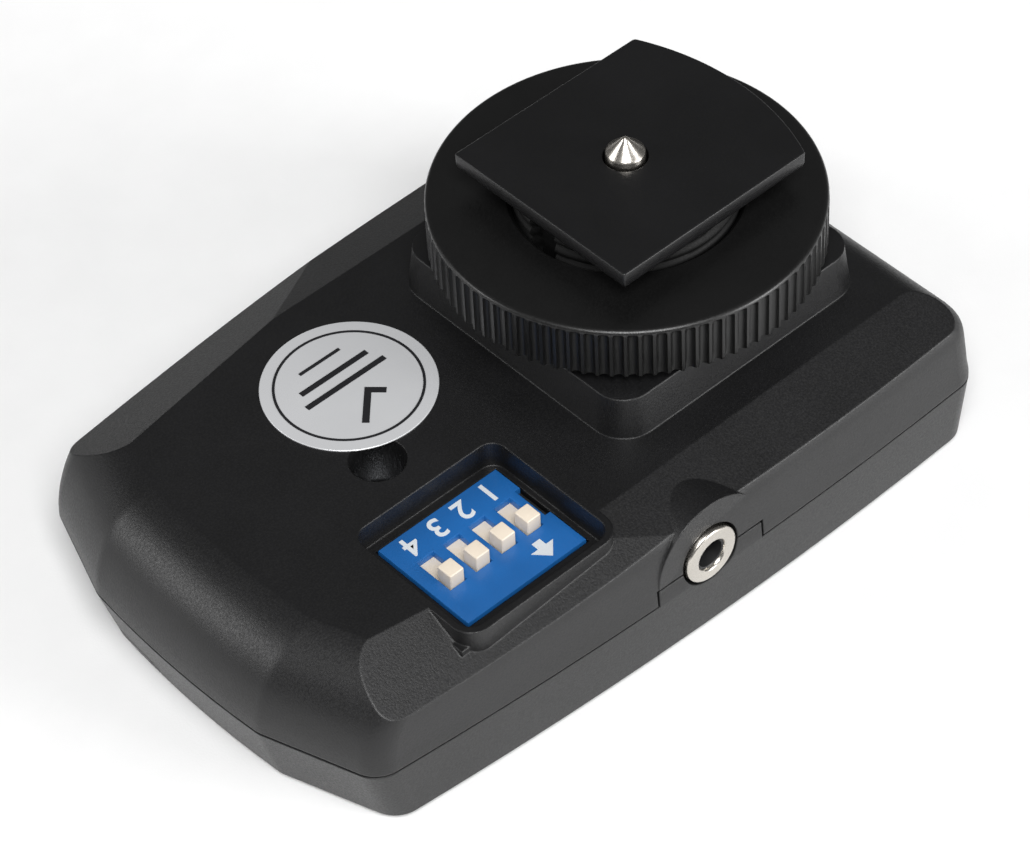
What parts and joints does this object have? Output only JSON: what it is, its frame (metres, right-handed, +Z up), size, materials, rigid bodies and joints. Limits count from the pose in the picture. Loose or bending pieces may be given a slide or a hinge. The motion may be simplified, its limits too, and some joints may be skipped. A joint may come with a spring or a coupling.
{
  "type": "wireless flash trigger",
  "caption": "Small radio transmitter for flash units: barrel-shaped case with a fluted lock ring, hot-shoe foot, switch window and side sync socket.",
  "frame": {"origin": "middle of the resting face, under the middle of the whole unit's outline box", "axes": "+Z up out of the resting face towards the shoe foot, +X along the case towards the shoe end, sync socket in the -Y wall"},
  "size_m": [0.0644, 0.043, 0.029],
  "materials": {
    "case_abs": "fine spark-eroded grain",
    "ring_abs": "satin",
    "foot_nylon": "satin",
    "washer_nylon": "satin",
    "zinc_steel": "zinc plated",
    "silver_foil": "satin foil",
    "nickel": "polished nickel plate",
    "spring_steel": "drawn wire and strip",
    "brass": "turned",
    "switch_black": "moulded",
    "switch_blue": "moulded, printed white",
    "slider_cream": "moulded",
    "tinned_copper": "tin plated",
    "board_green": "solder mask",
    "chip_epoxy": "moulded epoxy",
    "chip_ceramic": "fired ceramic",
    "can_steel": "nickel plated can",
    "copper_wire": "enamelled wire",
    "button_grey": "moulded",
    "lamp_red": "clear red epoxy",
    "cell_jacket": "printed shrink jacket"
  },
  "bodies": {
    "case": {"base_shell": "case_abs", "face_shell": "case_abs", "case_screw": "zinc_steel", "seal_sticker": "silver_foil", "shoe_foot": "foot_nylon", "foot_screws": "zinc_steel", "contact_spring": "spring_steel", "contact_terminal": "brass", "dip_housing": "switch_black", "dip_cover": "switch_blue", "dip_pins": "tinned_copper", "jack_body": "switch_black", "jack_bush": "nickel", "jack_lugs": "tinned_copper", "jack_tip_spring": "spring_steel", "circuit_board": "board_green", "encoder_chip": "chip_epoxy", "encoder_leads": "tinned_copper", "saw_resonator": "can_steel", "rf_transistor": "chip_epoxy", "chip_resistors": "chip_epoxy", "chip_capacitors": "chip_ceramic", "antenna_coil": "copper_wire", "tact_body": "switch_black", "lamp": "lamp_red", "battery_cell": "cell_jacket", "battery_spring": "spring_steel", "battery_plate": "spring_steel"},
    "washer": {"friction_washer": "washer_nylon"},
    "ring": {"lock_ring": "ring_abs"},
    "pin": {"contact_pin": "nickel"},
    "button": {"test_button": "button_grey", "tact_plunger": "button_grey"},
    "door": {"battery_door": "case_abs"},
    "channel_1": {"dip_slider_1": "slider_cream"},
    "channel_2": {"dip_slider_2": "slider_cream"},
    "channel_3": {"dip_slider_3": "slider_cream"},
    "channel_4": {"dip_slider_4": "slider_cream"}
  },
  "joints": [
    {"name": "ring_travel", "type": "slide", "parent": "case", "child": "washer", "axis": [0, 0, 1], "range_m": [-0.00098, 0.00069]},
    {"name": "ring_turn", "type": "hinge", "parent": "washer", "child": "ring", "pos_m": [0.0145, 0, 0.0189], "axis": [0, 0, 1], "range_deg": [-350, 245]},
    {"name": "contact_pin_press", "type": "slide", "parent": "case", "child": "pin", "axis": [0, 0, -1], "range_m": [0, 0.0008], "stiffness_N_per_m": 1000, "springref_m": -0.0004, "deforming": ["contact_spring"]},
    {"name": "test_button_press", "type": "slide", "parent": "case", "child": "button", "axis": [0, 0, 1], "range_m": [0, 0.0004], "stiffness_N_per_m": 3000, "springref_m": -0.0002},
    {"name": "battery_door_slide", "type": "slide", "parent": "case", "child": "door", "axis": [-1, 0, 0], "range_m": [0, 0.038]},
    {"name": "channel_1_slide", "type": "slide", "parent": "case", "child": "channel_1", "axis": [0, 1, 0], "range_m": [0, 0.002]},
    {"name": "channel_2_slide", "type": "slide", "parent": "case", "child": "channel_2", "axis": [0, 1, 0], "range_m": [0, 0.002]},
    {"name": "channel_3_slide", "type": "slide", "parent": "case", "child": "channel_3", "axis": [0, 1, 0], "range_m": [0, 0.002]},
    {"name": "channel_4_slide", "type": "slide", "parent": "case", "child": "channel_4", "axis": [0, 1, 0], "range_m": [0, 0.002]}
  ],
  "couplings": [
    {"joint": "ring_travel", "follows": "ring_turn", "m_per_rad": 0.00015915}
  ]
}
